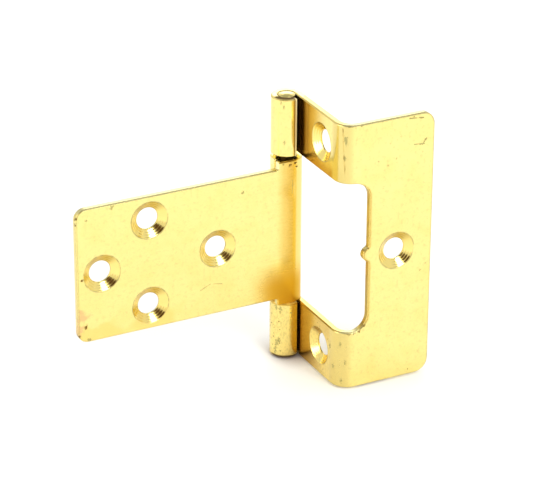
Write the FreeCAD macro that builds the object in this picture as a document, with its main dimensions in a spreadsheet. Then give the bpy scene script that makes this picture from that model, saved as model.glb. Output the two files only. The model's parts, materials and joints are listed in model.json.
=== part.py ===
import FreeCAD
import Part
import Sketcher
import math
import os

# Driving dimensions: millimetres, each with the place it is measured
DIMENSIONS = [
    ("hinge_length", 50.0, "along the pin, over both frame knuckles"),
    ("sheet_thickness", 1.25, "both leaves"),
    ("edge_break", 0.2, "broken edges of both leaves"),
    ("blank_radius", 0.35, "blanked corners at knuckles and shoulders"),
    ("pin_diameter", 3.0, "over the shank"),
    ("pin_proud", 0.3, "pin end above the knuckle rim"),
    ("pin_dome", 0.35, "height of the rounded pin end"),
    ("grip_clearance", 0.01, "pin in the frame knuckles, radial"),
    ("running_clearance", 0.05, "pin in the door knuckle, radial"),
    ("end_play", 0.6, "door knuckle between the frame knuckles"),
    ("rest_gap", 0.05, "door knuckle above the lower frame knuckle"),
    ("crank_depth", 17.7, "pin axis to the front of the plate"),
    ("crank_inner_radius", 1.95, "inside of the right-angle bend"),
    ("plate_reach", 19.4, "pin axis to the far edge of the plate"),
    ("plate_corner_radius", 2.5, "far corners of the plate"),
    ("upper_curl_gap", 0.7, "free end of the upper roll to its arm"),
    ("lower_curl_gap", 0.2, "free end of the lower roll to its arm"),
    ("cutout_height", 28.3, "along the pin"),
    ("cutout_reach", 6.95, "pin axis to the far edge of the cut-out"),
    ("cutout_corner_radius", 3.0, "inner corners of the cut-out"),
    ("nib_radius", 1.35, "stamping nib on the edge of the cut-out"),
    ("nib_proud", 1.1, "nib above its edge"),
    ("nib_root_radius", 0.5, "blend at each side of the nib"),
    ("nib_lift", 0.3, "nib above the middle of the hinge"),
    ("flag_reach", 41.25, "pin axis to the far edge of the door leaf"),
    ("flag_height", 25.1, "door leaf along the pin"),
    ("flag_corner_radius", 2.0, "far corners of the door leaf"),
    ("flag_shoulder", 2.95, "pin axis to the shoulder of the door knuckle"),
    ("flag_curl_gap", 0.6, "free end of the door roll to its leaf"),
    ("hole_diameter", 4.0, "screw shank hole"),
    ("countersink_diameter", 6.9, "at the face"),
    ("hole_land", 0.25, "straight part of a countersunk hole"),
    ("arm_hole_drop", 10.0, "pin axis to the arm holes"),
    ("plate_hole_reach", 12.4, "pin axis to the plate hole"),
    ("flag_outer_hole_reach", 36.6, "pin axis to the outer hole"),
    ("flag_inner_hole_reach", 14.7, "pin axis to the inner hole"),
    ("flag_pair_reach", 27.6, "pin axis to the pair of holes"),
    ("flag_pair_inset", 4.45, "edge of the door leaf to the pair of holes"),
]
# Sizes that follow from the ones above
DERIVED = [
    ("barrel_radius", "=pin_diameter / 2 + grip_clearance + sheet_thickness"),
    ("frame_bore_radius", "=barrel_radius - sheet_thickness"),
    ("door_barrel_radius", "=pin_diameter / 2 + running_clearance + sheet_thickness"),
    ("door_bore_radius", "=door_barrel_radius - sheet_thickness"),
    ("door_knuckle_height", "=cutout_height - end_play"),
    ("door_drop", "=end_play / 2 - rest_gap"),
    ("arm_hole_lift", "=(hinge_length + cutout_height) / 4"),
    ("flag_pair_lift", "=flag_height / 2 - flag_pair_inset"),
    ("pin_half_length", "=hinge_length / 2 + pin_proud"),
    ("upper_curl_end", "=frame_bore_radius - upper_curl_gap"),
    ("lower_curl_end", "=frame_bore_radius - lower_curl_gap"),
    ("curl_trim", "=(barrel_radius + sheet_thickness) / barrel_radius"),
    ("countersink_width", "=(countersink_diameter - hole_diameter) / 2"),
    ("countersink_angle", "=2 * atan(countersink_width / (sheet_thickness - hole_land))"),
]
SHARP_ANGLE = math.radians(30)

doc = FreeCAD.newDocument("cranked_hinge")
sizes = doc.addObject("Spreadsheet::Sheet", "Sizes")
for row, (alias, content, place) in enumerate(DIMENSIONS, 1):
    sizes.set(f"A{row}", alias)
    sizes.set(f"B{row}", str(content))
    sizes.set(f"C{row}", place)
    sizes.setAlias(f"B{row}", alias)
for row, (alias, formula) in enumerate(DERIVED, len(DIMENSIONS) + 1):
    sizes.set(f"A{row}", alias)
    sizes.set(f"B{row}", formula)
    sizes.setAlias(f"B{row}", alias)
doc.recompute()


def size(alias):
    return float(getattr(sizes, alias))


def new_sketch(body, name, plane, offset="0"):
    sketch = body.newObject("Sketcher::SketchObject", name)
    support = [feature for feature in body.Origin.OriginFeatures if feature.Role == plane]
    sketch.AttachmentSupport = [(support[0], "")]
    sketch.MapMode = "FlatFace"
    sketch.setExpression("AttachmentOffset.Base.z", offset)
    return sketch


def add_lines(sketch, *points):
    corners = [FreeCAD.Vector(*point, 0) for point in points]
    pairs = zip(corners, corners[1:])
    return [sketch.addGeometry(Part.LineSegment(start, end), False) for start, end in pairs]


def add_arc(sketch, centre, radius, start, end):
    circle = Part.Circle(FreeCAD.Vector(*centre, 0), FreeCAD.Vector(0, 0, 1), radius)
    return sketch.addGeometry(Part.ArcOfCircle(circle, math.radians(start), math.radians(end)), False)


def tie(sketch, kind, *ends):
    sketch.addConstraint(Sketcher.Constraint(kind, *ends))


def drive(sketch, name, expression, kind, *ends):
    current = float(sketch.evalExpression(expression))
    number = sketch.addConstraint(Sketcher.Constraint(kind, *ends, current))
    sketch.renameConstraint(number, name)
    sketch.setExpression(f"Constraints.{name}", expression)


def add_feature(body, kind, name, sketch, **settings):
    feature = body.newObject(f"PartDesign::{kind}", name)
    feature.Profile = sketch
    for setting, value in settings.items():
        setattr(feature, setting, value)
    sketch.Visibility = False
    return feature


def add_screw_holes(body, name, plane, offset, centres, reverse):
    # Countersunk screw holes, each opening wide on the sheet's outer face
    sketch = new_sketch(body, f"{name}_centres", plane, offset)
    for number, (across, up) in enumerate(centres):
        place = FreeCAD.Vector(sketch.evalExpression(across), sketch.evalExpression(up), 0)
        circle = Part.Circle(place, FreeCAD.Vector(0, 0, 1), size("hole_diameter") / 2)
        ring = sketch.addGeometry(circle, False)
        drive(sketch, f"across_{number}", across, "DistanceX", -1, 1, ring, 3)
        drive(sketch, f"up_{number}", up, "DistanceY", -1, 1, ring, 3)
        drive(sketch, f"width_{number}", "Sizes.hole_diameter", "Diameter", ring)
    doc.recompute()
    holes = add_feature(body, "Hole", name, sketch, DepthType="ThroughAll", Reversed=reverse)
    holes.setExpression("Diameter", "Sizes.hole_diameter")
    holes.HoleCutType = "Countersink"
    holes.HoleCutCustomValues = True
    holes.setExpression("HoleCutDiameter", "Sizes.countersink_diameter")
    holes.setExpression("HoleCutCountersinkAngle", "Sizes.countersink_angle")
    doc.recompute()


def is_sharp(shape, edge):
    faces = shape.ancestorsOfType(edge, Part.Face)
    if edge.isClosed() or len(faces) != 2:
        return False
    middle = edge.valueAt((edge.FirstParameter + edge.LastParameter) / 2)
    normals = [face.normalAt(*face.Surface.parameter(middle)) for face in faces]
    return normals[0].getAngle(normals[1]) > SHARP_ANGLE


def dress_edges(body, kind, name, setting, expression, chosen):
    base = body.Tip
    names = []
    for number, edge in enumerate(base.Shape.Edges, 1):
        if is_sharp(base.Shape, edge) and chosen(edge):
            names.append(f"Edge{number}")
    dressing = body.newObject(f"PartDesign::{kind}", name)
    dressing.Base = (base, names)
    dressing.setExpression(setting, expression)
    doc.recompute()


def round_corners(body, name, radius, chosen):
    dress_edges(body, "Fillet", name, "Radius", radius, chosen)


def break_edges(body, name):
    dress_edges(body, "Chamfer", name, "Size", "Sizes.edge_break", lambda edge: True)


def crosses_sheet(edge):
    level = abs(edge.tangentAt(edge.FirstParameter).z) < math.sin(SHARP_ANGLE)
    return level and abs(edge.Length - size("sheet_thickness")) < size("edge_break") / 2


def make_frame_leaf():
    # Folded sheet: rolled knuckles, arms running forward, right-angle crank, plate
    body = doc.addObject("PartDesign::Body", "frame_leaf")
    barrel = size("barrel_radius")
    bore = size("frame_bore_radius")
    bend = size("crank_inner_radius")
    front = -size("crank_depth")
    back = front + size("sheet_thickness")
    reach = size("plate_reach")
    bend_centre = (barrel + bend, back + bend)
    end_angle = 360 - math.degrees(math.acos(size("lower_curl_end") / barrel))
    end_direction = (math.cos(math.radians(end_angle)), math.sin(math.radians(end_angle)))

    sketch = new_sketch(body, "frame_section", "XY_Plane")
    outer = add_arc(sketch, (0, 0), barrel, 0, end_angle)
    inner = add_arc(sketch, (0, 0), bore, 0, end_angle)
    inner_end = (bore * end_direction[0], bore * end_direction[1])
    outer_end = (barrel * end_direction[0], barrel * end_direction[1])
    [free_end] = add_lines(sketch, inner_end, outer_end)
    [arm_back] = add_lines(sketch, (barrel, 0), (barrel, bend_centre[1]))
    bend_inner = add_arc(sketch, bend_centre, bend, 180, 270)
    plate_back, plate_end, plate_front = add_lines(
        sketch, (bend_centre[0], back), (reach, back), (reach, front), (bend_centre[0], front))
    bend_outer = add_arc(sketch, bend_centre, bend + size("sheet_thickness"), 180, 270)
    [arm_front] = add_lines(sketch, (bore, bend_centre[1]), (bore, 0))
    tie(sketch, "Coincident", outer, 3, -1, 1)
    tie(sketch, "Coincident", inner, 3, -1, 1)
    tie(sketch, "Coincident", bend_inner, 3, bend_outer, 3)
    tie(sketch, "Tangent", outer, 1, arm_back, 1)
    tie(sketch, "Tangent", arm_back, 2, bend_inner, 1)
    tie(sketch, "Tangent", bend_inner, 2, plate_back, 1)
    tie(sketch, "Coincident", plate_back, 2, plate_end, 1)
    tie(sketch, "Coincident", plate_end, 2, plate_front, 1)
    tie(sketch, "Tangent", plate_front, 2, bend_outer, 2)
    tie(sketch, "Tangent", bend_outer, 1, arm_front, 1)
    tie(sketch, "Tangent", arm_front, 2, inner, 1)
    tie(sketch, "Coincident", inner, 2, free_end, 1)
    tie(sketch, "Coincident", free_end, 2, outer, 2)
    tie(sketch, "PointOnObject", -1, 1, free_end)
    for line in (arm_back, arm_front, plate_end):
        tie(sketch, "Vertical", line)
    for line in (plate_back, plate_front):
        tie(sketch, "Horizontal", line)
    drive(sketch, "barrel", "Sizes.barrel_radius", "Radius", outer)
    drive(sketch, "bore", "Sizes.frame_bore_radius", "Radius", inner)
    drive(sketch, "bend", "Sizes.crank_inner_radius", "Radius", bend_inner)
    drive(sketch, "depth", "Sizes.crank_depth", "DistanceY", plate_front, 1, -1, 1)
    drive(sketch, "reach", "Sizes.plate_reach", "DistanceX", -1, 1, plate_front, 1)
    drive(sketch, "curl_end", "Sizes.lower_curl_end", "DistanceX", -1, 1, free_end, 2)
    strip = add_feature(body, "Pad", "folded_strip", sketch, SideType="Symmetric")
    strip.setExpression("Length", "Sizes.hinge_length")

    # The upper roll is a little more open than the lower one
    sketch = new_sketch(body, "upper_roll_trim", "XY_Plane")
    drop = -size("curl_trim") * math.sqrt(barrel ** 2 - size("upper_curl_end") ** 2)
    side = bore - size("lower_curl_gap") / 2
    ray = size("curl_trim") * size("upper_curl_end")
    top, right, foot, edge = add_lines(sketch, (0, 0), (side, 0), (side, drop), (ray, drop), (0, 0))
    tie(sketch, "Coincident", -1, 1, top, 1)
    tie(sketch, "Coincident", top, 2, right, 1)
    tie(sketch, "Coincident", right, 2, foot, 1)
    tie(sketch, "Coincident", foot, 2, edge, 1)
    tie(sketch, "Coincident", edge, 2, top, 1)
    tie(sketch, "Horizontal", top)
    tie(sketch, "Vertical", right)
    tie(sketch, "Horizontal", foot)
    drive(sketch, "side", "Sizes.frame_bore_radius - Sizes.lower_curl_gap / 2", "DistanceX", top, 1, top, 2)
    drive(sketch, "ray", "Sizes.curl_trim * Sizes.upper_curl_end", "DistanceX", -1, 1, edge, 1)
    drop_formula = "Sizes.curl_trim * sqrt(Sizes.barrel_radius ^ 2 - Sizes.upper_curl_end ^ 2)"
    drive(sketch, "drop", drop_formula, "DistanceY", edge, 1, -1, 1)
    add_feature(body, "Pocket", "open_upper_roll", sketch, Type="ThroughAll", Reversed=True)
    doc.recompute()

    # Cut-out through barrel, arms, crank and plate, with the half-round nib on its far edge
    sketch = new_sketch(body, "cutout_outline", "XZ_Plane")
    far = size("cutout_reach")
    near = -barrel - size("sheet_thickness")
    high = size("cutout_height") / 2
    corner = size("cutout_corner_radius")
    root = size("nib_root_radius")
    nib = size("nib_radius")
    lift = size("nib_lift")
    nib_centre = far - size("nib_proud") + nib
    across = nib + root - size("nib_proud")
    spread = math.sqrt((nib + root) ** 2 - across ** 2)
    lean = math.degrees(math.atan2(spread, across))
    [bottom] = add_lines(sketch, (near, -high), (far - corner, -high))
    low_corner = add_arc(sketch, (far - corner, corner - high), corner, 270, 360)
    [low_edge] = add_lines(sketch, (far, corner - high), (far, lift - spread))
    low_root = add_arc(sketch, (far - root, lift - spread), root, 0, lean)
    bump = add_arc(sketch, (nib_centre, lift), nib, 180 - lean, 180 + lean)
    high_root = add_arc(sketch, (far - root, lift + spread), root, 360 - lean, 360)
    [high_edge] = add_lines(sketch, (far, lift + spread), (far, high - corner))
    high_corner = add_arc(sketch, (far - corner, high - corner), corner, 0, 90)
    top, left = add_lines(sketch, (far - corner, high), (near, high), (near, -high))
    tie(sketch, "Tangent", bottom, 2, low_corner, 1)
    tie(sketch, "Tangent", low_corner, 2, low_edge, 1)
    tie(sketch, "Tangent", low_edge, 2, low_root, 1)
    tie(sketch, "Tangent", low_root, 2, bump, 2)
    tie(sketch, "Tangent", bump, 1, high_root, 1)
    tie(sketch, "Tangent", high_root, 2, high_edge, 1)
    tie(sketch, "Tangent", high_edge, 2, high_corner, 1)
    tie(sketch, "Tangent", high_corner, 2, top, 1)
    tie(sketch, "Coincident", top, 2, left, 1)
    tie(sketch, "Coincident", left, 2, bottom, 1)
    for line in (bottom, top):
        tie(sketch, "Horizontal", line)
    for line in (low_edge, high_edge, left):
        tie(sketch, "Vertical", line)
    tie(sketch, "Equal", low_corner, high_corner)
    tie(sketch, "Equal", low_root, high_root)
    drive(sketch, "corner", "Sizes.cutout_corner_radius", "Radius", low_corner)
    drive(sketch, "nib_root", "Sizes.nib_root_radius", "Radius", low_root)
    drive(sketch, "nib", "Sizes.nib_radius", "Radius", bump)
    drive(sketch, "nib_lift", "Sizes.nib_lift", "DistanceY", -1, 1, bump, 3)
    nib_formula = "Sizes.cutout_reach - Sizes.nib_proud + Sizes.nib_radius"
    drive(sketch, "nib_across", nib_formula, "DistanceX", -1, 1, bump, 3)
    drive(sketch, "far_low", "Sizes.cutout_reach", "DistanceX", -1, 1, low_edge, 1)
    drive(sketch, "far_high", "Sizes.cutout_reach", "DistanceX", -1, 1, high_edge, 2)
    drive(sketch, "near", "Sizes.barrel_radius + Sizes.sheet_thickness", "DistanceX", left, 1, -1, 1)
    drive(sketch, "half_top", "Sizes.cutout_height / 2", "DistanceY", -1, 1, top, 2)
    drive(sketch, "half_bottom", "Sizes.cutout_height / 2", "DistanceY", bottom, 1, -1, 1)
    add_feature(body, "Pocket", "leaf_cutout", sketch, Type="ThroughAll", SideType="Symmetric")
    doc.recompute()

    arm_centres = [
        ("-Sizes.arm_hole_drop", "Sizes.arm_hole_lift"),
        ("-Sizes.arm_hole_drop", "-Sizes.arm_hole_lift"),
    ]
    plate_centres = [("Sizes.plate_hole_reach", "0")]
    add_screw_holes(body, "arm_holes", "YZ_Plane", "Sizes.frame_bore_radius", arm_centres, True)
    add_screw_holes(body, "plate_hole", "XZ_Plane", "Sizes.crank_depth", plate_centres, False)

    def at_plate_corner(edge):
        return crosses_sheet(edge) and edge.CenterOfMass.x > reach - size("edge_break")

    round_corners(body, "plate_corners", "Sizes.plate_corner_radius", at_plate_corner)
    round_corners(body, "roll_corners", "Sizes.blank_radius", crosses_sheet)
    break_edges(body, "frame_edges")
    return body


def make_door_leaf():
    # Flag-shaped sheet, flush with the front of its own rolled knuckle
    body = doc.addObject("PartDesign::Body", "door_leaf")
    barrel = size("door_barrel_radius")
    bore = size("door_bore_radius")
    reach = size("flag_reach")
    lag = math.degrees(math.asin((bore - size("flag_curl_gap")) / barrel))
    end_angle = 540 + lag
    end_direction = (-math.cos(math.radians(lag)), -math.sin(math.radians(lag)))

    sketch = new_sketch(body, "door_section", "XY_Plane")
    outer = add_arc(sketch, (0, 0), barrel, 270, end_angle)
    inner = add_arc(sketch, (0, 0), bore, 270, end_angle)
    inner_end = (bore * end_direction[0], bore * end_direction[1])
    outer_end = (barrel * end_direction[0], barrel * end_direction[1])
    [free_end] = add_lines(sketch, inner_end, outer_end)
    flag_back, flag_end, flag_front = add_lines(
        sketch, (0, -bore), (-reach, -bore), (-reach, -barrel), (0, -barrel))
    tie(sketch, "Coincident", outer, 3, -1, 1)
    tie(sketch, "Coincident", inner, 3, -1, 1)
    tie(sketch, "Tangent", inner, 1, flag_back, 1)
    tie(sketch, "Coincident", flag_back, 2, flag_end, 1)
    tie(sketch, "Coincident", flag_end, 2, flag_front, 1)
    tie(sketch, "Tangent", flag_front, 2, outer, 1)
    tie(sketch, "Coincident", inner, 2, free_end, 1)
    tie(sketch, "Coincident", free_end, 2, outer, 2)
    tie(sketch, "PointOnObject", -1, 1, free_end)
    tie(sketch, "Horizontal", flag_back)
    tie(sketch, "Vertical", flag_end)
    tie(sketch, "Horizontal", flag_front)
    drive(sketch, "barrel", "Sizes.door_barrel_radius", "Radius", outer)
    drive(sketch, "bore", "Sizes.door_bore_radius", "Radius", inner)
    drive(sketch, "reach", "Sizes.flag_reach", "DistanceX", flag_end, 1, -1, 1)
    curl_formula = "Sizes.door_bore_radius - Sizes.flag_curl_gap"
    drive(sketch, "curl_end", curl_formula, "DistanceY", free_end, 2, -1, 1)
    flag = add_feature(body, "Pad", "rolled_flag", sketch, SideType="Symmetric")
    flag.setExpression("Length", "Sizes.door_knuckle_height")
    doc.recompute()

    # Shoulders: the flag is lower than its knuckle, above and below
    sketch = new_sketch(body, "shoulder_outline", "XZ_Plane")
    half = size("flag_height") / 2
    out = size("door_knuckle_height") / 2 + size("sheet_thickness")
    far = -reach - size("sheet_thickness")
    near = -size("flag_shoulder")
    for name, sign in (("upper", 1), ("lower", -1)):
        low = sign * half
        high = sign * out
        inside, side, outside, end = add_lines(
            sketch, (far, low), (near, low), (near, high), (far, high), (far, low))
        tie(sketch, "Coincident", inside, 2, side, 1)
        tie(sketch, "Coincident", side, 2, outside, 1)
        tie(sketch, "Coincident", outside, 2, end, 1)
        tie(sketch, "Coincident", end, 2, inside, 1)
        for line in (inside, outside):
            tie(sketch, "Horizontal", line)
        for line in (side, end):
            tie(sketch, "Vertical", line)
        drive(sketch, f"{name}_near", "-Sizes.flag_shoulder", "DistanceX", -1, 1, side, 1)
        far_formula = "-Sizes.flag_reach - Sizes.sheet_thickness"
        drive(sketch, f"{name}_far", far_formula, "DistanceX", -1, 1, end, 1)
        drive(sketch, f"{name}_half", f"{sign} * Sizes.flag_height / 2", "DistanceY", -1, 1, side, 1)
        out_formula = f"{sign} * (Sizes.door_knuckle_height / 2 + Sizes.sheet_thickness)"
        drive(sketch, f"{name}_out", out_formula, "DistanceY", -1, 1, side, 2)
    add_feature(body, "Pocket", "shoulders", sketch, Type="ThroughAll", SideType="Symmetric")
    doc.recompute()

    centres = [
        ("-Sizes.flag_outer_hole_reach", "0"),
        ("-Sizes.flag_inner_hole_reach", "0"),
        ("-Sizes.flag_pair_reach", "Sizes.flag_pair_lift"),
        ("-Sizes.flag_pair_reach", "-Sizes.flag_pair_lift"),
    ]
    add_screw_holes(body, "flag_holes", "XZ_Plane", "Sizes.door_barrel_radius", centres, False)

    def at_flag_corner(edge):
        return crosses_sheet(edge) and edge.CenterOfMass.x < size("edge_break") - reach

    round_corners(body, "flag_corners", "Sizes.flag_corner_radius", at_flag_corner)
    round_corners(body, "shoulder_corners", "Sizes.blank_radius", crosses_sheet)
    break_edges(body, "door_edges")
    return body


def make_hinge_pin():
    # Plain round pin with low domed ends, just proud of the knuckles
    body = doc.addObject("PartDesign::Body", "hinge_pin")
    radius = size("pin_diameter") / 2
    half = size("pin_half_length")
    dome = size("pin_dome")
    crown = (radius ** 2 + dome ** 2) / dome / 2
    rise = math.degrees(math.asin((crown - dome) / crown))
    sketch = new_sketch(body, "pin_section", "XZ_Plane")
    [axis] = add_lines(sketch, (0, half), (0, -half))
    lower = add_arc(sketch, (0, crown - half), crown, 270, 360 - rise)
    [side] = add_lines(sketch, (radius, dome - half), (radius, half - dome))
    upper = add_arc(sketch, (0, half - crown), crown, rise, 90)
    tie(sketch, "Coincident", axis, 2, lower, 1)
    tie(sketch, "Coincident", lower, 2, side, 1)
    tie(sketch, "Coincident", side, 2, upper, 1)
    tie(sketch, "Coincident", upper, 2, axis, 1)
    for curve, end in ((axis, 1), (axis, 2), (lower, 3), (upper, 3)):
        tie(sketch, "PointOnObject", curve, end, -2)
    tie(sketch, "Vertical", side)
    drive(sketch, "radius", "Sizes.pin_diameter / 2", "DistanceX", -1, 1, side, 1)
    drive(sketch, "upper_end", "Sizes.pin_half_length", "DistanceY", -1, 1, axis, 1)
    drive(sketch, "lower_end", "Sizes.pin_half_length", "DistanceY", axis, 2, -1, 1)
    drive(sketch, "upper_dome", "Sizes.pin_dome", "DistanceY", side, 2, axis, 1)
    drive(sketch, "lower_dome", "Sizes.pin_dome", "DistanceY", axis, 2, side, 1)
    add_feature(body, "Revolution", "turned_pin", sketch, ReferenceAxis=(sketch, ["V_Axis"]), Angle=360)
    doc.recompute()
    return body


frame_leaf = make_frame_leaf()
door_leaf = make_door_leaf()
hinge_pin = make_hinge_pin()

# The origin lies midway between the arm holes, on the arms' seat
for body in (frame_leaf, door_leaf, hinge_pin):
    body.setExpression("Placement.Base.x", "-Sizes.barrel_radius")
    body.setExpression("Placement.Base.y", "Sizes.arm_hole_drop")
door_leaf.setExpression("Placement.Base.z", "-Sizes.door_drop")
doc.recompute()

for item in doc.Objects:
    if "Invalid" in item.State or "Error" in item.State:
        raise RuntimeError(f"{item.Name} did not compute: {item.State}")
os.makedirs("parts", exist_ok=True)
for body in (frame_leaf, door_leaf, hinge_pin):
    if body.Shape.isNull() or not body.Shape.isValid():
        raise RuntimeError(f"{body.Label} has no valid shape")
    body.Shape.exportStep(f"parts/{body.Label}.step")
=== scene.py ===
import bpy
import json
import math
from mathutils import Matrix, Vector


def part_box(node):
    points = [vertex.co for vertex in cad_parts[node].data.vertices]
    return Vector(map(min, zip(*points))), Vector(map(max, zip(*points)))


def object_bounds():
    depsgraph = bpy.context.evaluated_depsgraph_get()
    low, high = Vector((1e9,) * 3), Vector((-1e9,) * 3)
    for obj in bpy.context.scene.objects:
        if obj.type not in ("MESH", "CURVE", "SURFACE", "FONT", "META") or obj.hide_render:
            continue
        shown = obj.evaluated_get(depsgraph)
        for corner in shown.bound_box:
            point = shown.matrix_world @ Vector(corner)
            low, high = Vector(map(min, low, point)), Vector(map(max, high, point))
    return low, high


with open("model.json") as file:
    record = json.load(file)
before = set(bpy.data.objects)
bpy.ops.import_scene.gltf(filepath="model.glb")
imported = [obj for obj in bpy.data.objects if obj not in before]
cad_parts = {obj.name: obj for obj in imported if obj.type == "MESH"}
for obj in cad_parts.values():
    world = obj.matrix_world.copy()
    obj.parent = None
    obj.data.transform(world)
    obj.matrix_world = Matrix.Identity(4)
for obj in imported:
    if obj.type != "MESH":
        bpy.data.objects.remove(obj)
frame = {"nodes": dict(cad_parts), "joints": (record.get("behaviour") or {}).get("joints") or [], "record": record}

cad_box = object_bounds()

# Frame leaf
# One blank of mild steel sheet with two knuckles rolled round the pin, two arms, a right-angle crank and a
# plate. It is blanked, rolled, cranked and countersunk, then electroplated with brass and buffed.
MM = 0.001


def add_node(tree, kind, inputs=(), **settings):
    node = tree.nodes.new("ShaderNode" + kind)
    for name, value in settings.items():
        setattr(node, name, value)
    for socket, value in dict(inputs).items():
        if isinstance(value, bpy.types.NodeSocket):
            tree.links.new(value, node.inputs[socket])
        else:
            node.inputs[socket].default_value = value
    return node


def work_out(tree, operation, *values):
    return add_node(tree, "Math", dict(enumerate(values)), operation=operation).outputs[0]


class Finish:
    # A surface built up in layers over its base metal, on the piece's own coordinates in millimetres. A mask
    # is 1 where its layer covers, and a fade is a pair: where a mask is 0, and where it has become 1.
    core = 1 / 3
    raggedness = 3.0
    ragged_grain = 0.8
    scratch_wander = 0.7
    speck_fade = (1.0, 0.5)
    rim_fade = (0.995, 0.93)
    bevel_samples = 4
    dirt_shine = 0.1

    def __init__(self, name, colour, roughness):
        self.material = bpy.data.materials.new(name)
        self.material.use_nodes = True
        self.tree = self.material.node_tree
        self.tree.nodes.clear()
        self.colour = colour
        self.roughness = roughness
        self.metal = 1.0
        self.height = 0.0
        self.cone = 0.0
        own = self.add("TexCoord")
        self.place = self.vector("SCALE", own.outputs["Object"], Scale=1 / MM)
        self.across, self.along, self.up = self.split(self.place)
        self.facing = own.outputs["Normal"]
        self.facing_x, self.facing_y, self.facing_z = self.split(self.facing)

    def add(self, kind, inputs=(), **settings):
        return add_node(self.tree, kind, inputs, **settings)

    def work(self, operation, *values):
        return work_out(self.tree, operation, *values)

    def vector(self, operation, *values, **named):
        node = self.add("VectorMath", {**dict(enumerate(values)), **named}, operation=operation)
        return node.outputs["Value" if operation in ("LENGTH", "DISTANCE", "DOT_PRODUCT") else "Vector"]

    def split(self, source):
        return self.add("SeparateXYZ", {0: source}).outputs

    def ramp(self, source, start, end):
        return self.add("MapRange", {"Value": source, "From Min": start, "From Max": end},
                        interpolation_type="SMOOTHSTEP").outputs[0]

    def noise(self, size, detail=2.0, stretch=(1, 1, 1)):
        place = self.vector("MULTIPLY", self.place, stretch)
        return self.add("TexNoise", {"Vector": place, "Scale": 1 / size, "Detail": detail}).outputs["Fac"]

    def patches(self, size, fade, detail=2.0, stretch=(1, 1, 1)):
        return self.ramp(self.noise(size, detail, stretch), *fade)

    def mix(self, mask, first, second, kind):
        node = self.add("Mix", data_type=kind, clamp_factor=True)
        slots = (6, 7, 2) if kind == "RGBA" else (2, 3, 0)
        for socket, value in ((0, mask), (slots[0], first), (slots[1], second)):
            if isinstance(value, bpy.types.NodeSocket):
                self.tree.links.new(value, node.inputs[socket])
            else:
                node.inputs[socket].default_value = value
        return node.outputs[slots[2]]

    def lay(self, mask, colour=None, roughness=None, metal=None, depth=0.0, strength=1.0):
        # One layer over the last, as strong as its mask
        if strength < 1:
            mask = self.both(mask, strength)
        if colour is not None:
            self.colour = self.mix(mask, self.colour, colour, "RGBA")
        if roughness is not None:
            self.roughness = self.mix(mask, self.roughness, roughness, "FLOAT")
        if metal is not None:
            self.metal = self.mix(mask, self.metal, metal, "FLOAT")
        if depth:
            self.height = self.work("MULTIPLY_ADD", mask, -depth, self.height)

    def both(self, *masks):
        joined = masks[0]
        for mask in masks[1:]:
            joined = self.work("MULTIPLY", joined, mask)
        return joined

    def either(self, *masks):
        joined = masks[0]
        for mask in masks[1:]:
            joined = self.work("MAXIMUM", joined, mask)
        return joined

    def specks(self, cell, density, radius):
        # Round specks, each at a chance place in a grid of cells
        grid = self.add("TexVoronoi", {"Vector": self.place, "Scale": 1 / cell, "Randomness": 1.0})
        chance = self.split(grid.outputs["Color"])
        shown = self.work("GREATER_THAN", density, chance[0])
        width = self.work("MULTIPLY_ADD", chance[1], radius / cell, radius / cell * self.core)
        inside = self.work("DIVIDE", grid.outputs["Distance"], width)
        return self.both(shown, self.ramp(inside, *self.speck_fade))

    def spot(self, centre, radius, stretch=(1, 1, 1)):
        # A ragged patch, drawn out along an axis where its stretch is less than 1
        sway = radius * self.raggedness
        grain = self.noise(radius * self.ragged_grain, detail=3.0)
        ragged = self.work("MULTIPLY_ADD", grain, sway, -sway / 2)
        offset = self.vector("MULTIPLY", self.vector("SUBTRACT", self.place, centre), stretch)
        apart = self.work("ADD", self.vector("LENGTH", offset), ragged)
        return self.ramp(apart, radius, radius * self.core)

    def scratch(self, start, end, width):
        run = Vector(end) - Vector(start)
        offset = self.vector("SUBTRACT", self.place, start)
        part = self.vector("DOT_PRODUCT", offset, run / run.length_squared)
        part = self.add("Clamp", {"Value": part}).outputs[0]
        foot = self.vector("ADD", self.vector("SCALE", run, Scale=part), start)
        sway = width * self.raggedness
        wander = self.work("MULTIPLY_ADD", self.noise(self.scratch_wander), sway, -sway / 2)
        apart = self.work("ADD", self.vector("DISTANCE", self.place, foot), wander)
        return self.ramp(apart, width, width * self.core)

    def radius_from(self, centre, axis):
        # Distance from a line through centre along one of the piece's axes
        plane = [1 - abs(part) for part in axis]
        offset = self.vector("SUBTRACT", self.place, [part / MM for part in centre])
        return self.vector("LENGTH", self.vector("MULTIPLY", offset, plane))

    def rim(self, width):
        # 1 along the sharp edges, fading to 0 within a width of them
        rounded = self.add("Bevel", {"Radius": width * MM}, samples=self.bevel_samples).outputs[0]
        plain = self.add("NewGeometry").outputs["Normal"]
        return self.ramp(self.vector("DOT_PRODUCT", rounded, plain), *self.rim_fade)

    def close(self, edge_radius):
        rounded = self.add("Bevel", {"Radius": edge_radius * MM}, samples=self.bevel_samples)
        bumps = self.add("Bump", {"Height": self.height, "Distance": MM, "Normal": rounded.outputs[0]})
        shader = self.add("BsdfPrincipled", {
            "Base Color": self.colour, "Roughness": self.roughness, "Metallic": self.metal,
            "Specular IOR Level": self.dirt_shine, "Normal": bumps.outputs[0]})
        self.add("OutputMaterial", {"Surface": shader.outputs[0]})
        return self.material


def screw_holes(pattern):
    # The centre of each hole of a screw pattern in the record, which runs up the hinge or along the leaf
    mount = [mount for mount in frame["record"]["mounts"] if mount["name"] == pattern][0]
    sizes = mount["dims"]
    run = Vector((sizes.get("spacing_x_mm", 0), 0, sizes.get("spacing_y_mm", 0))) / 2
    ends = (-1, 1) if run.length else (0,)
    return [(Vector(mount["pos_m"]) + run * MM * end, mount["axis"]) for end in ends]


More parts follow.
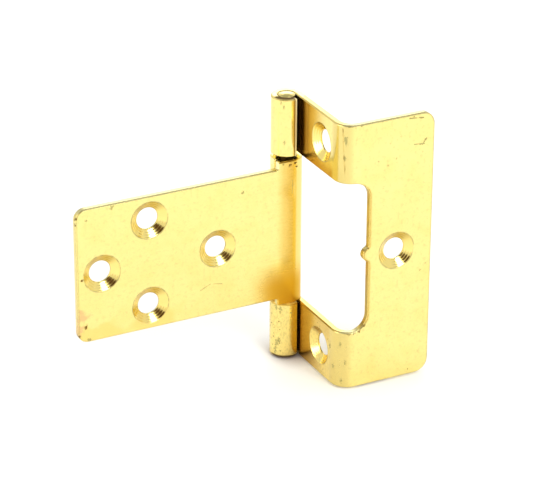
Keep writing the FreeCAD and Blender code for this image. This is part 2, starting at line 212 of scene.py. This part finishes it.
BRASS = (0.95, 0.80, 0.295, 1)
GOLDEN_BRASS = (0.92, 0.70, 0.21, 1)
CONE_BRASS = (0.93, 0.74, 0.235, 1)
CONE_PAINTED_SHADE = (0.60, 0.44, 0.11, 1)
OLIVE_DUST = (0.32, 0.29, 0.10, 1)
BROWN_SPECK = (0.20, 0.11, 0.02, 1)
COUNTERSINK_RADIUS = 3.45
CONE_EDGE = (COUNTERSINK_RADIUS, COUNTERSINK_RADIUS - 0.1)
TURNING_PITCH = 0.38
LIP_FADE = (0.16, 0.05)
FAR_OFF = 1000.0
FACES_BACK = (-0.3, -0.6)
CONE_TOP_FACES_DOWN = (-0.2, -0.5)
CONE_TOP_FACES_FRONT = (-0.5, -0.7)


def brassed_sheet(name, holes):
    finish = Finish(name, BRASS, roughness=0.15)
    clouds = finish.patches(size=7.0, fade=(0.35, 0.75), detail=3.0)
    finish.lay(clouds, colour=GOLDEN_BRASS, strength=0.33)
    mottling = finish.patches(size=1.8, fade=(0.45, 0.7), detail=3.0)
    finish.lay(mottling, colour=GOLDEN_BRASS, strength=0.22)
    # Fine rolling lines, the orange peel of the plating and a dusting of fine dark specks
    lines = finish.patches(size=0.22, fade=(0.35, 0.7), stretch=(0.05, 1, 1))
    finish.lay(lines, roughness=0.23, depth=0.0008)
    finish.lay(finish.noise(size=0.8), depth=0.004)
    grain = finish.patches(size=0.6, fade=(0.5, 0.75), detail=4.0)
    finish.lay(grain, colour=OLIVE_DUST, roughness=0.3, strength=0.2)
    dusting = finish.specks(cell=1.1, density=0.25, radius=0.15)
    finish.lay(dusting, colour=OLIVE_DUST, roughness=0.5, strength=0.3)
    pits = finish.specks(cell=3.1, density=0.10, radius=0.15)
    finish.lay(pits, colour=BROWN_SPECK, roughness=0.5, depth=0.02)

    # Countersinks keep the golden colour in their hollow and show the turning of the cutter
    nearest = FAR_OFF
    for centre, axis in holes:
        behind = finish.ramp(finish.vector("DOT_PRODUCT", finish.facing, axis), *FACES_BACK)
        radius = finish.work("MULTIPLY_ADD", behind, FAR_OFF, finish.radius_from(centre, axis))
        nearest = finish.work("MINIMUM", radius, nearest)
    finish.cone = finish.ramp(nearest, *CONE_EDGE)
    turns = finish.work("SINE", finish.work("MULTIPLY", nearest, math.tau / TURNING_PITCH))
    finish.lay(finish.cone, colour=CONE_BRASS, roughness=0.12)
    finish.lay(finish.both(finish.cone, turns), depth=0.008)
    # Painted shade: the upper part of each countersink, where its faces look down and to the front, is darker
    cone_top_painted_shade = finish.both(finish.ramp(finish.facing_z, *CONE_TOP_FACES_DOWN),
                           finish.ramp(finish.facing_y, *CONE_TOP_FACES_FRONT))
    finish.lay(finish.both(finish.cone, cone_top_painted_shade), colour=CONE_PAINTED_SHADE)
    from_lip = finish.work("ABSOLUTE", finish.work("SUBTRACT", nearest, COUNTERSINK_RADIUS))
    lip = finish.both(finish.ramp(from_lip, *LIP_FADE), finish.patches(size=1.2, fade=(0.3, 0.6)))
    finish.lay(lip, colour=OLIVE_DUST, roughness=0.4, strength=0.6)
    return finish


pin_axis = frame["joints"][0]["pos_m"]
EDGE_BRASS = (0.66, 0.51, 0.17, 1)
SOOT_AND_SHADE = (0.075, 0.04, 0.012, 1)
BARREL_RADIUS = 2.76
BORE = (BARREL_RADIUS - 0.75, BARREL_RADIUS - 1.05)
SOOT_AND_SHADE_END = 0.5
SOOT_AND_SHADE_FADE = 0.3
soot_and_shade_height = cad_box[1][2] / MM - SOOT_AND_SHADE_END


def wear_soot_and_shade(finish, sheared, handled):
    # Sheared edges are dull and rough, and dirt breaks the line of every corner
    rough = finish.patches(size=0.5, fade=(0.35, 0.65), detail=3.0, stretch=(1, 1, 0.4))
    finish.lay(sheared, colour=EDGE_BRASS, roughness=0.3)
    finish.lay(finish.both(sheared, rough), colour=OLIVE_DUST, roughness=0.45, depth=0.02, strength=0.5)
    broken = finish.both(handled, finish.patches(size=1.6, fade=(0.45, 0.62), detail=4.0))
    finish.lay(finish.both(finish.rim(width=0.18), broken), colour=OLIVE_DUST, roughness=0.4, strength=0.55)
    dashes = finish.both(handled, finish.patches(size=1.9, fade=(0.6, 0.68), detail=3.0))
    finish.lay(finish.both(finish.rim(width=0.22), dashes), colour=BROWN_SPECK, roughness=0.5, strength=0.8)

    # Soot and painted shade in the bore, on the pin's seat and in the seams between the knuckles
    inside = finish.ramp(finish.radius_from(pin_axis, (0, 0, 1)), *BORE)
    covered = finish.ramp(finish.work("ABSOLUTE", finish.up), soot_and_shade_height, soot_and_shade_height - SOOT_AND_SHADE_FADE)
    finish.lay(finish.both(inside, covered), colour=SOOT_AND_SHADE, roughness=0.6)


def dress(node, material):
    node.data.materials.clear()
    node.data.materials.append(material)


frame_holes = screw_holes("frame_arm_screws") + screw_holes("frame_plate_screw")
finish = brassed_sheet("frame_leaf_brass", frame_holes)
from_pin = finish.radius_from(pin_axis, (0, 0, 1))

# The lower knuckle and arm are dulled and pitted, most of all on the knuckle's outer side
LOWER_THIRD = (-8.0, -12.0)
ARM_SIDE = (1.5, -0.5)
OUTER_SIDE = (-4.1, -4.8)
pitted = finish.both(finish.ramp(finish.up, *LOWER_THIRD), finish.ramp(finish.across, *ARM_SIDE))
dull = finish.patches(size=0.3, fade=(0.45, 0.65), detail=3.0, stretch=(1, 1, 0.5))
finish.lay(pitted, colour=GOLDEN_BRASS, strength=0.5)
finish.lay(finish.both(pitted, dull), colour=OLIVE_DUST, roughness=0.4, strength=0.25)
dark_pits = finish.both(pitted, finish.ramp(finish.across, *OUTER_SIDE),
                        finish.specks(cell=0.55, density=0.5, radius=0.16))
finish.lay(dark_pits, colour=BROWN_SPECK, roughness=0.5, depth=0.02, strength=0.7)
pale_pits = finish.both(pitted, finish.specks(cell=0.8, density=0.5, radius=0.2))
finish.lay(pale_pits, colour=OLIVE_DUST, roughness=0.5, depth=0.02, strength=0.6)

# Painted shade and reflection: the arms are a deeper orange beside the knuckles and along the cut-out, down to the
# crank, but for their holes
ORANGE_TARNISH_AND_SHADE = (0.55, 0.32, 0.035, 1)
OFF_BARREL = (2.85, 3.1)
FACES_LEFT = (-0.5, -0.8)
CONE_BELOW_TOP = (-0.5, -0.3)
BESIDE_KNUCKLES = (-3.0, 5.5)
BEFORE_CRANK = (-7.0, -6.2)
ABOVE_CUT_OUT = (13.0, 14.0)
BELOW_CUT_OUT = (-13.0, -14.0)
UPPER_ARM_SHADE = (20.0, 16.0)
LOWER_ARM_SHADE = (-18.0, -14.0)
LOWER_ARM_SHADE_STRENGTH = 0.55
ARM_SHADE_SWAY = 3.0
bare_arms = finish.both(finish.ramp(from_pin, *OFF_BARREL), finish.ramp(finish.facing_x, *FACES_LEFT))
bright_cone = finish.both(finish.cone, finish.ramp(finish.facing_z, *CONE_BELOW_TOP))
on_arms = finish.both(bare_arms, finish.work("SUBTRACT", 1.0, bright_cone))
painted_light_beside = finish.ramp(finish.along, *BESIDE_KNUCKLES)
uneven = finish.work("MULTIPLY_ADD", finish.noise(size=3.0, detail=3.0), ARM_SHADE_SWAY, finish.up)
before_crank = finish.ramp(finish.along, *BEFORE_CRANK)
above_cut_out = finish.ramp(finish.up, *ABOVE_CUT_OUT)
below_cut_out = finish.ramp(finish.up, *BELOW_CUT_OUT)
above = finish.both(finish.ramp(uneven, *UPPER_ARM_SHADE), above_cut_out, before_crank)
below = finish.both(finish.ramp(uneven, *LOWER_ARM_SHADE), below_cut_out, before_crank, LOWER_ARM_SHADE_STRENGTH)
finish.lay(finish.both(on_arms, finish.either(painted_light_beside, above, below)), colour=ORANGE_TARNISH_AND_SHADE, roughness=0.2)

# The crank has a golden cast, and a streaked crease where the tool bent the upper arm
BEND_BRASS = (0.76, 0.61, 0.21, 1)
CRANK_FROM_PLATE = (1.5, 0.0)
CRANK_FROM_ARMS = (-3.5, -4.5)
CREASE_TOP = (-0.62, -6.40, 24.3)
CREASE_FOOT = (-0.26, -6.82, 15.0)
crank = finish.both(finish.ramp(finish.across, *CRANK_FROM_PLATE),
                    finish.ramp(finish.along, *CRANK_FROM_ARMS))
finish.lay(crank, colour=BEND_BRASS, strength=0.9)
streaks = finish.patches(size=0.8, fade=(0.45, 0.6), detail=3.0, stretch=(1, 1, 0.25))
crease = finish.scratch(CREASE_TOP, CREASE_FOOT, width=0.16)
finish.lay(crease, colour=ORANGE_TARNISH_AND_SHADE, roughness=0.4, strength=0.35)
finish.lay(finish.both(crease, streaks), colour=BROWN_SPECK, roughness=0.4, strength=0.5)

# Each mark that shows on the plate, the crank and the knuckles: its place, and its radius or its other end
PLATE_FRONT = -7.7
ARM_FACE = -1.25
PLATE_SPOTS = [((5.7, PLATE_FRONT, 17.6), 0.25), ((7.6, PLATE_FRONT, 16.4), 0.28),
               ((9.2, PLATE_FRONT, 17.5), 0.25), ((14.5, PLATE_FRONT, -4.9), 0.2),
               ((15.5, PLATE_FRONT, -3.7), 0.2), ((14.9, PLATE_FRONT, 19.9), 0.35)]
PLATE_SCRATCHES = [((11.6, PLATE_FRONT, 24.4), (14.3, PLATE_FRONT, 24.1)),
                   ((12.7, PLATE_FRONT, 19.4), (14.6, PLATE_FRONT, 19.2)),
                   ((14.2, PLATE_FRONT, 19.1), (15.0, PLATE_FRONT, 20.2))]
BEND_MARKS = [((-0.2, -6.85, 22.2), 0.48), ((-0.31, -6.75, 19.0), 0.25), ((-0.3, -6.76, -23.7), 0.3),
              ((-0.5, -6.54, -16.6), 0.3), ((-1.14, -5.29, -21.2), 0.3), ((ARM_FACE, -4.27, -17.7), 0.35),
              ((0.2, -7.18, -20.1), 0.25)]
EDGE_MARKS = [((0.3, -7.25, 24.9), 0.4), ((1.3, -7.65, 24.95), 0.45), ((2.3, PLATE_FRONT, 24.9), 0.35),
              ((0.6, -7.4, -14.3), 0.4), ((1.6, PLATE_FRONT, -14.3), 0.35), ((2.6, PLATE_FRONT, -14.1), 0.4),
              ((3.6, PLATE_FRONT, -13.3), 0.35)]
KNUCKLE_MARKS = [((-5.1, 8.6, -22.4), 0.5), ((-5.3, 8.9, -23.8), 0.4), ((-4.85, 8.2, -21.5), 0.35),
                 ((-5.2, 8.74, -15.1), 0.4), ((-4.75, 8.1, -15.3), 0.35),
                 ((-4.41, 7.8, 23.58), 0.25), ((-4.3, 7.72, 17.08), 0.27), ((-4.81, 8.16, 24.4), 0.22)]
UPRIGHT = (1, 1, 0.5)
for centre, radius in PLATE_SPOTS:
    finish.lay(finish.spot(centre, radius), colour=OLIVE_DUST, roughness=0.5, strength=0.6)
for start, end in PLATE_SCRATCHES:
    line = finish.scratch(start, end, width=0.17)
    finish.lay(line, colour=OLIVE_DUST, roughness=0.4, depth=0.02, strength=0.9)
for centre, radius in BEND_MARKS + KNUCKLE_MARKS:
    finish.lay(finish.spot(centre, radius, UPRIGHT), colour=OLIVE_DUST, roughness=0.5, strength=0.7)
for centre, radius in EDGE_MARKS:
    finish.lay(finish.spot(centre, radius), colour=BROWN_SPECK, roughness=0.5, strength=0.8)

# The plate's edges are dull, with a tan line of painted shade along the cut-out, an olive one at the far end and
# an olive top.
# The tops of the arms are dull as well, up to the curls.
TOP_EDGE_BRASS = (0.66, 0.59, 0.28, 1)
EDGE_ON = (0.6, 0.4)
PAST_CRANK = (2.4, 2.6)
CUT_OUT_SIDE = (9.0, 8.0)
PLATE_END = (15.6, 16.4)
CUT_SHADE_START = (2.0, 2.6)
CUT_SHADE_END = (6.0, 5.0)
BETWEEN_ARMS = (13.6, 12.6)
FACES_UP = (0.5, 0.8)
PLATE_SIDE = (-6.0, -6.6)
ARMS_SIDE = (-6.6, -6.0)
OFF_CURL = (2.95, 3.3)
edge_on = finish.ramp(finish.work("ABSOLUTE", finish.facing_y), *EDGE_ON)
cut_out = finish.both(finish.ramp(finish.across, *PAST_CRANK), edge_on,
                      finish.ramp(finish.across, *CUT_OUT_SIDE))
wear_soot_and_shade(finish, cut_out, handled=1.0)
plate_end = finish.both(finish.rim(width=0.3), finish.ramp(finish.across, *PLATE_END))
finish.lay(plate_end, colour=OLIVE_DUST, roughness=0.4, strength=0.75)
# Painted shade: a tan band on the plate along the cut-out's edge
cut_out_painted_shade = finish.both(finish.rim(width=0.65), finish.ramp(finish.across, *CUT_SHADE_START),
                       finish.ramp(finish.across, *CUT_SHADE_END),
                       finish.ramp(finish.work("ABSOLUTE", finish.up), *BETWEEN_ARMS))
finish.lay(cut_out_painted_shade, colour=ORANGE_TARNISH_AND_SHADE, roughness=0.3, strength=0.9)
plate_top = finish.both(finish.ramp(finish.facing_z, *FACES_UP), finish.ramp(finish.along, *PLATE_SIDE))
finish.lay(plate_top, colour=TOP_EDGE_BRASS, roughness=0.35)
arm_tops = finish.both(finish.ramp(finish.facing_z, *FACES_UP), finish.ramp(finish.along, *ARMS_SIDE),
                       finish.ramp(from_pin, *OFF_CURL))
finish.lay(arm_tops, colour=EDGE_BRASS, roughness=0.35, strength=0.8)

# Painted shade darkens the front rims of the barrel's two ends and its top edge, and colours the seam over the
# lower knuckle orange
FRONT_HALF = (10.3, 9.3)
OUTSIDE_PIN = (1.5, 1.8)
LEFT_OF_CURL_END = (-1.5, -1.8)
INSIDE_BARREL = (BARREL_RADIUS - 0.05, BARREL_RADIUS - 0.25)
ON_BARREL = (BARREL_RADIUS + 0.15, BARREL_RADIUS + 0.05)
NEAR_BARREL = (2.95, 2.85)
BARREL_TOP = (24.55, 24.75)
BARREL_TOP_EDGE = (24.4, 24.7)
BARREL_FOOT = (-24.4, -24.7)
LOWER_SEAM_FOOT = (-14.75, -14.5)
LOWER_SEAM_TOP = (-13.0, -13.5)
front_half = finish.ramp(finish.along, *FRONT_HALF)
on_barrel = finish.ramp(from_pin, *ON_BARREL)
top_rim_painted_shade = finish.both(front_half, finish.ramp(from_pin, *OUTSIDE_PIN), finish.ramp(from_pin, *INSIDE_BARREL),
                      finish.ramp(finish.across, *LEFT_OF_CURL_END), finish.ramp(finish.up, *BARREL_TOP))
top_edge_painted_shade = finish.both(finish.rim(width=0.22), finish.ramp(finish.up, *BARREL_TOP_EDGE),
                       finish.ramp(from_pin, *NEAR_BARREL))
foot_rim_painted_shade = finish.both(front_half, on_barrel, finish.ramp(finish.up, *BARREL_FOOT))
lower_seam_painted_shade = finish.both(on_barrel, finish.ramp(finish.up, *LOWER_SEAM_FOOT),
                         finish.ramp(finish.up, *LOWER_SEAM_TOP))
finish.lay(top_edge_painted_shade, colour=BROWN_SPECK, roughness=0.5, strength=0.7)
finish.lay(top_rim_painted_shade, colour=SOOT_AND_SHADE, roughness=0.9, metal=0.0, strength=0.95)
finish.lay(foot_rim_painted_shade, colour=SOOT_AND_SHADE, roughness=0.9, metal=0.0, strength=0.95)
finish.lay(lower_seam_painted_shade, colour=ORANGE_TARNISH_AND_SHADE, roughness=0.4, strength=0.8)

# The upper curl's end has a pale painted highlight on its edge, with a dark crease beside it
PALE_PAINTED_HIGHLIGHT = (0.92, 0.80, 0.42, 1)
CURL_FRONT = (8.0, 7.8)
FOLD_START = (-2.72, -2.64)
FOLD_END = (-2.42, -2.5)
HIGHLIGHT_START = (-2.46, -2.4)
HIGHLIGHT_END = (-1.5, -1.7)
SHEET_EDGE_ROUNDING = 0.22
on_curl = finish.both(finish.ramp(finish.along, *CURL_FRONT), above_cut_out)
fold = finish.both(on_curl, finish.ramp(finish.across, *FOLD_START), finish.ramp(finish.across, *FOLD_END))
curl_end_highlight = finish.both(on_curl, finish.ramp(finish.across, *HIGHLIGHT_START), finish.ramp(finish.across, *HIGHLIGHT_END))
finish.lay(fold, colour=BROWN_SPECK, roughness=0.4, strength=0.8)
finish.lay(curl_end_highlight, colour=PALE_PAINTED_HIGHLIGHT, roughness=0.55, metal=0.2)
dress(frame["nodes"]["frame_leaf"], finish.close(SHEET_EDGE_ROUNDING))

# Hinge pin
# A drawn steel pin with low domed ends, plated with the leaves. The frame leaf's knuckles grip it, and oil
# and dust, with painted shade, have blackened it where it runs in the bores.
CLEAN_END = 0.3
CLEAN_FADE = 0.15
PIN_EDGE_ROUNDING = 0.15
finish = Finish("hinge_pin_brass", BRASS, roughness=0.18)
pin_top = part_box("hinge_pin")[1][2] / MM
clean_from = pin_top - CLEAN_END
blackened_and_shaded = finish.ramp(finish.work("ABSOLUTE", finish.up), clean_from, clean_from - CLEAN_FADE)
finish.lay(finish.noise(size=0.6), depth=0.004)
finish.lay(blackened_and_shaded, colour=SOOT_AND_SHADE, roughness=0.6)
dress(frame["nodes"]["hinge_pin"], finish.close(PIN_EDGE_ROUNDING))

# Door leaf
# A flag of the same brassed sheet, rolled round the pin at one end so that its front lies flush with the
# knuckle, with four countersunk holes in a diamond. Its far lower corner has been rubbed.
LEAF_FRONT = 7.2
AMBER_PAINTED_REFLECTION = (0.74, 0.41, 0.02, 1)
COPPER_STAIN = (0.80, 0.50, 0.22, 1)
leaf_holes = screw_holes("leaf_row_screws") + screw_holes("leaf_column_screws")
finish = brassed_sheet("door_leaf_brass", leaf_holes)

# Golden and copper patches near the far lower corner, and painted reflection in gold and amber beside and below
# the knuckle
GOLDEN_PATCHES = [((-34.0, LEAF_FRONT, -12.0), 6.0), ((-41.0, LEAF_FRONT, -11.5), 3.5)]
COPPER_PATCHES = [((-43.2, LEAF_FRONT, -7.7), 1.5), ((-43.8, LEAF_FRONT, -10.2), 1.3)]
LYING = (0.6, 1, 1.6)
FACES_FRONT = (-0.5, -0.8)
BESIDE_BARREL = (-6.5, -3.2)
FLUSH_START = (-6.0, -4.5)
FLUSH_END = (-1.8, -2.8)
LOW_START = (-12.0, -6.0)
LOW_TOP = (-5.0, -10.5)
for centre, radius in GOLDEN_PATCHES:
    finish.lay(finish.spot(centre, radius, LYING), colour=GOLDEN_BRASS, strength=0.9)
for centre, radius in COPPER_PATCHES:
    finish.lay(finish.spot(centre, radius), colour=COPPER_STAIN, roughness=0.35, strength=0.8)
# Painted reflection: gold and amber on the front beside and below the knuckle
front = finish.ramp(finish.facing_y, *FACES_FRONT)
painted_light_beside = finish.both(front, finish.ramp(finish.across, *BESIDE_BARREL))
flush_painted_reflection = finish.both(front, finish.ramp(finish.across, *FLUSH_START), finish.ramp(finish.across, *FLUSH_END))
low = finish.both(front, finish.ramp(finish.across, *LOW_START), finish.ramp(finish.up, *LOW_TOP))
finish.lay(painted_light_beside, colour=GOLDEN_BRASS, strength=0.9)
finish.lay(flush_painted_reflection, colour=AMBER_PAINTED_REFLECTION, strength=0.3)
finish.lay(low, colour=AMBER_PAINTED_REFLECTION, strength=0.9)
finish.lay(low, roughness=0.36)

# Each mark that shows on the flag and its knuckle: its place, and its radius or its other end
DARK_SPOTS = [((-42.6, LEAF_FRONT, -9.8), 0.42), ((-3.46, LEAF_FRONT, 12.8), 0.35),
              ((-43.9, 7.6, -11.6), 0.6), ((-44.0, 7.5, 10.8), 0.5), ((-44.0, 7.5, 9.7), 0.35),
              ((-43.1, LEAF_FRONT, -0.8), 0.32), ((-2.4, 7.3, 13.0), 0.35), ((-2.1, 7.3, 12.3), 0.25)]
OLIVE_SPOTS = [((-12.6, LEAF_FRONT, 9.4), 0.35), ((-42.0, LEAF_FRONT, -12.3), 0.4),
               ((-4.8, LEAF_FRONT, 13.2), 0.3), ((-37.3, LEAF_FRONT, 11.7), 0.5),
               ((-42.1, LEAF_FRONT, 10.2), 0.3), ((-5.7, 8.1, 12.5), 0.25)]
LEAF_SCRATCHES = [((-20.8, LEAF_FRONT, -7.6), (-18.9, LEAF_FRONT, -6.8)),
                  ((-18.3, LEAF_FRONT, -6.9), (-16.7, LEAF_FRONT, -7.2)),
                  ((-43.3, LEAF_FRONT, -0.9), (-42.5, LEAF_FRONT, -0.6)),
                  ((-2.9, LEAF_FRONT, 9.8), (-3.0, LEAF_FRONT, 7.4))]
for centre, radius in OLIVE_SPOTS:
    finish.lay(finish.spot(centre, radius), colour=OLIVE_DUST, roughness=0.5, strength=0.7)
for start, end in LEAF_SCRATCHES:
    line = finish.scratch(start, end, width=0.12)
    finish.lay(line, colour=OLIVE_DUST, roughness=0.4, depth=0.01, strength=0.5)
for centre, radius in DARK_SPOTS:
    finish.lay(finish.spot(centre, radius), colour=BROWN_SPECK, roughness=0.5)

# The flag's sheared edges, a little brighter than the plate's, and the step up to the knuckle, painted pale as a
# highlight
FLAG_SIDE = (-5.5, -5.7)
SHEARED_STRENGTH = 0.3
OFF_KNUCKLE = (-6.5, -8.5)
FAR_END = (-43.2, -43.7)
LOWER_EDGE = (-12.2, -12.6)
FLAG_TOP = (-6.0, -6.6)
STEP_FAR = (-6.3, -5.9)
STEP_NEAR = (-5.4, -5.6)
STEP_FOOT = (12.2, 12.5)
STEP_FACE = (-0.4, -0.7)
edge_on = finish.ramp(finish.work("ABSOLUTE", finish.facing_y), *EDGE_ON)
sheared = finish.both(finish.ramp(finish.across, *FLAG_SIDE), edge_on, SHEARED_STRENGTH)
off_knuckle = finish.ramp(finish.across, *OFF_KNUCKLE)
wear_soot_and_shade(finish, sheared, handled=off_knuckle)
far_end = finish.both(finish.rim(width=0.3), finish.ramp(finish.across, *FAR_END))
finish.lay(far_end, colour=OLIVE_DUST, roughness=0.4, strength=0.75)
lower_edge = finish.both(finish.rim(width=0.3), finish.ramp(finish.up, *LOWER_EDGE), off_knuckle)
finish.lay(lower_edge, colour=OLIVE_DUST, roughness=0.4, strength=0.5)
flag_top = finish.both(finish.ramp(finish.facing_z, *FACES_UP), finish.ramp(finish.across, *FLAG_TOP))
finish.lay(flag_top, colour=TOP_EDGE_BRASS, roughness=0.35)
step_painted_highlight = finish.both(finish.ramp(finish.across, *STEP_FAR), finish.ramp(finish.across, *STEP_NEAR),
                   finish.ramp(finish.up, *STEP_FOOT), finish.ramp(finish.facing_x, *STEP_FACE))
finish.lay(step_painted_highlight, colour=PALE_PAINTED_HIGHLIGHT, roughness=0.5, metal=0.3, strength=0.9)
dress(frame["nodes"]["door_leaf"], finish.close(SHEET_EDGE_ROUNDING))

# Floor
# A plain sheet of white paper that the hinge stands on. It shows white and keeps a soft shadow, and a brown
# shadow is painted round the foot of the lower knuckle.
FLOOR_SIZE = 3.0
FLOOR_GLOW = 0.05
PAPER_WHITE = (0.95, 0.95, 0.95, 1)
PAINTED_SHADOW_BROWN = (0.20, 0.08, 0.0, 1)
PAINTED_SHADOW_REACH = 0.006
WHITE_FROM = 0.12
WHITE_BY = 0.35
SHADED_SIDES = (("Y", 3.0, 7.5), ("X", 2.0, -1.0), ("X", -7.5, -4.5))
bpy.ops.object.select_all(action="DESELECT")
bpy.ops.mesh.primitive_plane_add(size=FLOOR_SIZE, location=(0, 0, cad_box[0][2]))
floor = bpy.context.object
floor.name = "floor"
paper = bpy.data.materials.new("white_paper")
paper.use_nodes = True
tree = paper.node_tree
tree.nodes.clear()
path = add_node(tree, "LightPath").outputs
seen = work_out(tree, "MAXIMUM", path["Is Camera Ray"], path["Is Glossy Ray"])
seen = work_out(tree, "MAXIMUM", seen, path["Is Transmission Ray"])
glow_share = work_out(tree, "MULTIPLY", seen, FLOOR_GLOW)
spot = add_node(tree, "TexCoord").outputs["Object"]
reach = add_node(tree, "VectorMath", {0: spot}, operation="LENGTH").outputs["Value"]
far = add_node(tree, "MapRange", {"Value": reach, "From Min": WHITE_FROM, "From Max": WHITE_BY}).outputs[0]
far = work_out(tree, "MULTIPLY", far, path["Is Camera Ray"])
glow_share = work_out(tree, "MAXIMUM", far, glow_share)
# Painted shadow: the paper turns brown where the hinge is near, on the sides in SHADED_SIDES
openness = add_node(tree, "AmbientOcclusion", {"Distance": PAINTED_SHADOW_REACH}, samples=8).outputs["AO"]
place = add_node(tree, "SeparateXYZ", {0: spot}).outputs
covered = work_out(tree, "SUBTRACT", 1.0, openness)
for axis, lit, shaded in SHADED_SIDES:
    side = add_node(tree, "MapRange", {"Value": place[axis], "From Min": lit * MM, "From Max": shaded * MM})
    covered = work_out(tree, "MULTIPLY", covered, side.outputs[0])
tint = add_node(tree, "Mix", {0: covered, 6: PAPER_WHITE, 7: PAINTED_SHADOW_BROWN}, data_type="RGBA").outputs[2]
matt = add_node(tree, "BsdfDiffuse", {"Color": tint}).outputs[0]
glow = add_node(tree, "Emission", {"Color": (1, 1, 1, 1), "Strength": 1.0}).outputs[0]
mixed = add_node(tree, "MixShader", {0: glow_share, 1: matt, 2: glow}).outputs[0]
add_node(tree, "OutputMaterial", {"Surface": mixed})
floor.data.materials.append(paper)

# Studio light
# A white tent with a darker roof and the dark side that the camera looks out of, a soft key lamp in front,
# and soft panels low on the left and behind.
CAMERA_AZIMUTH = math.radians(-27.373)
CAMERA_ELEVATION = math.radians(25.770)
TENT_LEVEL = 0.95
ROOF_LEVEL = 0.45
ROOF_START = 0.55
ROOF_FULL = 0.78
OPENING_BROWN = (0.10, 0.045, 0.012, 1)
OPENING_START = math.radians(20)
OPENING_FULL = math.radians(14)
LAMPS = {
    "key_lamp": dict(azimuth=8, elevation=38, distance=0.5, size=0.2, power=0.9),
    "left_panel": dict(azimuth=-96, elevation=15, distance=0.5, size=0.3, power=1.0),
    "back_panel": dict(azimuth=153, elevation=27, distance=0.6, size=0.3, power=0.5),
}


def direction(azimuth, elevation):
    return Vector((math.sin(azimuth) * math.cos(elevation),
                   -math.cos(azimuth) * math.cos(elevation), math.sin(elevation)))


world = bpy.data.worlds.new("tent")
bpy.context.scene.world = world
world.use_nodes = True
tree = world.node_tree
tree.nodes.clear()
ray = add_node(tree, "TexCoord").outputs["Generated"]
rise = add_node(tree, "SeparateXYZ", {0: ray}).outputs["Z"]
roof = add_node(tree, "MapRange", {
    "Value": rise, "From Min": ROOF_START, "From Max": ROOF_FULL, "To Min": TENT_LEVEL, "To Max": ROOF_LEVEL},
    interpolation_type="SMOOTHSTEP").outputs[0]
facing = add_node(tree, "VectorMath", {0: ray, 1: direction(CAMERA_AZIMUTH, CAMERA_ELEVATION)},
                  operation="DOT_PRODUCT").outputs["Value"]
opening = add_node(tree, "MapRange", {
    "Value": facing, "From Min": math.cos(OPENING_START), "From Max": math.cos(OPENING_FULL)},
    interpolation_type="SMOOTHSTEP").outputs[0]
path = add_node(tree, "LightPath").outputs
mirrored = work_out(tree, "MULTIPLY", path["Is Glossy Ray"], opening)
colour = add_node(tree, "Mix", {0: mirrored, 6: (1, 1, 1, 1), 7: OPENING_BROWN}, data_type="RGBA").outputs[2]
level = add_node(tree, "Mix", {0: path["Is Glossy Ray"], 2: TENT_LEVEL, 3: roof}).outputs[0]
level = work_out(tree, "MAXIMUM", level, path["Is Camera Ray"])
cloth = add_node(tree, "Background", {"Color": colour, "Strength": level}).outputs[0]
add_node(tree, "OutputWorld", {"Surface": cloth})

for name, plan in LAMPS.items():
    bpy.ops.object.light_add(type="AREA")
    lamp = bpy.context.object
    lamp.name = name
    lamp.data.size = plan["size"]
    lamp.data.energy = plan["power"]
    towards = direction(math.radians(plan["azimuth"]), math.radians(plan["elevation"]))
    lamp.location = towards * plan["distance"]
    lamp.rotation_euler = (-lamp.location).to_track_quat("-Z", "Y").to_euler()

# Camera
# A long lens half a metre from the hinge. It looks down on it from the photograph's angle, with the
# photograph's slight roll.
CAMERA_ROLL = math.radians(0.368)
CAMERA_DISTANCE = 0.48709
CAMERA_AIM = Vector((-5.264, 9.173, -3.905)) * MM
CAMERA_LENS = 180.85
CAMERA_SENSOR = 36
NEAREST_SEEN = 0.01
back = direction(CAMERA_AZIMUTH, CAMERA_ELEVATION)
level_right = Vector((math.cos(CAMERA_AZIMUTH), math.sin(CAMERA_AZIMUTH), 0))
right = Matrix.Rotation(CAMERA_ROLL, 3, back) @ level_right
turn = Matrix((right, back.cross(right), back)).transposed()
bpy.ops.object.camera_add(location=CAMERA_AIM + back * CAMERA_DISTANCE, rotation=turn.to_euler())
camera = bpy.context.object
camera.data.lens = CAMERA_LENS
camera.data.sensor_width = CAMERA_SENSOR
camera.data.clip_start = NEAREST_SEEN
bpy.context.scene.camera = camera
bpy.context.scene.view_settings.view_transform = "Standard"
